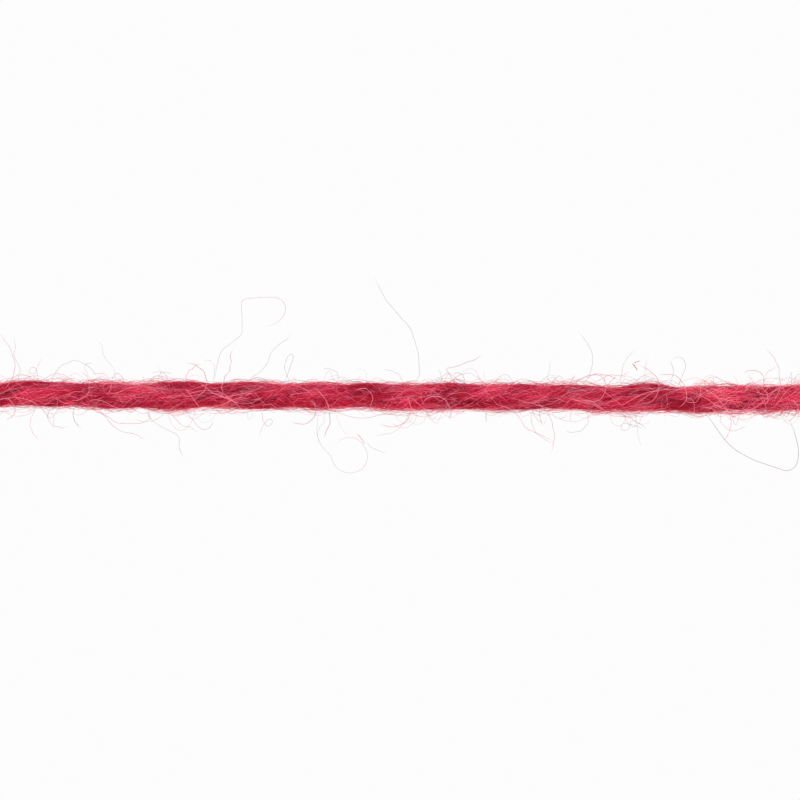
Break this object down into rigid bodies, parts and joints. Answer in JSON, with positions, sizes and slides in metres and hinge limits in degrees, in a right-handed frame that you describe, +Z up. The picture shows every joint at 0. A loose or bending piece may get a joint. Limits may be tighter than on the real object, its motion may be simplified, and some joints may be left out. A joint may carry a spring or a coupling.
{
  "type": "twisted wool cord",
  "caption": "Taut length of red twisted wool cord: helical plies laid together, with an overhand knot at each end and the plies fanned out as short tails.",
  "frame": {"origin": "on the plane that the cord lies on, under the middle of its taut length", "axes": "+X along the taut length to the right knot, +Z up from the plane, +Y across"},
  "size_m": [0.1288, 0.0144, 0.0057],
  "materials": {
    "red_wool": "hairy matt wool"
  },
  "bodies": {
    "root": {"ply_1": "red_wool", "ply_2": "red_wool", "ply_3": "red_wool", "ply_4": "red_wool", "left_knot": "red_wool", "left_tail_1": "red_wool", "left_tail_2": "red_wool", "left_tail_3": "red_wool", "left_tail_4": "red_wool", "right_knot": "red_wool", "right_tail_1": "red_wool", "right_tail_2": "red_wool", "right_tail_3": "red_wool", "right_tail_4": "red_wool"}
  },
  "joints": []
}
